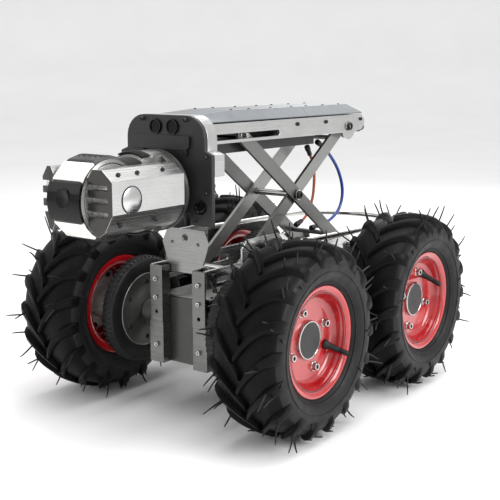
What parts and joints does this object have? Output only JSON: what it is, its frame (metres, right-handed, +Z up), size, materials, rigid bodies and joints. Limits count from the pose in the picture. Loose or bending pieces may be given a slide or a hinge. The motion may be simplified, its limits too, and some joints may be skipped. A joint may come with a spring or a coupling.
{
  "type": "four wheel robot chassis",
  "caption": "Wheeled inspection robot: pneumatic-tyred chassis, scissor-lift platform, rolling fork with a tilting camera and lamps, and a tail hoop.",
  "frame": {"origin": "on the floor, under the middle of the whole length and width", "axes": "+Z up, -Y forward along the direction of travel, +X to the robot's left"},
  "size_m": [0.565, 0.878, 0.5265],
  "materials": {
    "tyre_rubber": "matte black rubber, glossy on the tread's shoulders",
    "red_enamel": "glossy red enamel",
    "black_rubber": "matte black rubber",
    "dark_anodised": "satin dark grey anodised plate",
    "bright_alloy": "bright machined aluminium",
    "link_alloy": "satin grey anodised aluminium",
    "grey_alloy": "satin grey aluminium",
    "cover_alloy": "satin bluish grey aluminium sheet",
    "polished_steel": "polished stainless steel",
    "black_plastic": "matte black plastic",
    "black_glass": "glossy black window",
    "lamp_diffuser": "white lamp panel",
    "blue_hose": "smooth blue hose",
    "orange_cable": "matte orange cable"
  },
  "bodies": {
    "chassis": {"chassis_box": "grey_alloy", "chassis_lid": "grey_alloy", "lower_rail_left": "bright_alloy", "lower_rail_right": "bright_alloy", "lower_pivot_pin_left": "polished_steel", "lower_pivot_pin_right": "polished_steel", "front_post_left": "grey_alloy", "front_post_right": "grey_alloy", "axle_tube_front": "grey_alloy", "axle_tube_rear": "grey_alloy", "hex_bracket": "bright_alloy", "rear_bracket": "grey_alloy", "side_bracket_left": "bright_alloy", "side_bracket_right": "bright_alloy", "tail_hoop": "polished_steel", "lift_motor": "black_plastic"},
    "wheel_front_left": {"tyre_front_left": "tyre_rubber", "rim_barrel_front_left": "red_enamel", "rim_dish_front_left": "red_enamel", "drive_wheel_front_left": "black_rubber"},
    "wheel_front_right": {"tyre_front_right": "tyre_rubber", "rim_barrel_front_right": "red_enamel", "rim_dish_front_right": "red_enamel", "drive_wheel_front_right": "black_rubber"},
    "wheel_rear_left": {"tyre_rear_left": "tyre_rubber", "rim_barrel_rear_left": "red_enamel", "rim_dish_rear_left": "red_enamel", "drive_wheel_rear_left": "black_rubber"},
    "wheel_rear_right": {"tyre_rear_right": "tyre_rubber", "rim_barrel_rear_right": "red_enamel", "rim_dish_rear_right": "red_enamel", "drive_wheel_rear_right": "black_rubber"},
    "outer_arms": {"outer_link_left": "link_alloy", "outer_link_right": "link_alloy", "upper_slider_shaft": "polished_steel", "centre_shaft": "polished_steel", "blue_hose": "blue_hose", "orange_cable": "orange_cable"},
    "inner_arms": {"inner_link_left": "link_alloy", "inner_link_right": "link_alloy", "lower_slider_shaft": "polished_steel"},
    "platform": {"front_plate": "dark_anodised", "bulkhead": "bright_alloy", "side_plate_left": "bright_alloy", "side_plate_right": "bright_alloy", "upper_pivot_pin_left": "polished_steel", "upper_pivot_pin_right": "polished_steel", "top_cover": "cover_alloy", "rear_cover": "cover_alloy", "platform_tray": "dark_anodised", "rear_gland_plate": "black_plastic", "head_neck": "dark_anodised"},
    "head_fork": {"fork_base": "grey_alloy", "fork_arm_left": "bright_alloy", "fork_arm_right": "bright_alloy"},
    "camera": {"camera_drum": "dark_anodised", "lens_window": "black_glass", "lamp_upper": "lamp_diffuser", "lamp_lower": "lamp_diffuser"}
  },
  "joints": [
    {"name": "wheel_front_left_spin", "type": "hinge", "parent": "chassis", "child": "wheel_front_left", "pos_m": [0.219, -0.155, 0.165], "axis": [1, 0, 0], "continuous": true},
    {"name": "wheel_front_right_spin", "type": "hinge", "parent": "chassis", "child": "wheel_front_right", "pos_m": [-0.219, -0.155, 0.165], "axis": [1, 0, 0], "continuous": true},
    {"name": "wheel_rear_left_spin", "type": "hinge", "parent": "chassis", "child": "wheel_rear_left", "pos_m": [0.219, 0.206, 0.165], "axis": [1, 0, 0], "continuous": true},
    {"name": "wheel_rear_right_spin", "type": "hinge", "parent": "chassis", "child": "wheel_rear_right", "pos_m": [-0.219, 0.206, 0.165], "axis": [1, 0, 0], "continuous": true},
    {"name": "lift", "type": "hinge", "parent": "chassis", "child": "outer_arms", "pos_m": [0, 0.2605, 0.241], "axis": [-1, 0, 0], "range_deg": [-24, 17]},
    {"name": "scissor_cross", "type": "hinge", "parent": "outer_arms", "child": "inner_arms", "pos_m": [0, 0.0905, 0.362], "axis": [-1, 0, 0], "range_deg": [-34, 48], "deforming": ["blue_hose", "orange_cable"]},
    {"name": "platform_level", "type": "hinge", "parent": "inner_arms", "child": "platform", "pos_m": [0, 0.2605, 0.483], "axis": [-1, 0, 0], "range_deg": [-24, 17]},
    {"name": "head_roll", "type": "hinge", "parent": "platform", "child": "head_fork", "pos_m": [0, -0.2495, 0.4], "axis": [0, -1, 0], "continuous": true},
    {"name": "camera_tilt", "type": "hinge", "parent": "head_fork", "child": "camera", "pos_m": [0, -0.3765, 0.4], "axis": [1, 0, 0], "range_deg": [-120, 120]}
  ],
  "couplings": [
    {"joint": "scissor_cross", "follows": "lift", "ratio": -2},
    {"joint": "platform_level", "follows": "lift", "ratio": 1}
  ]
}
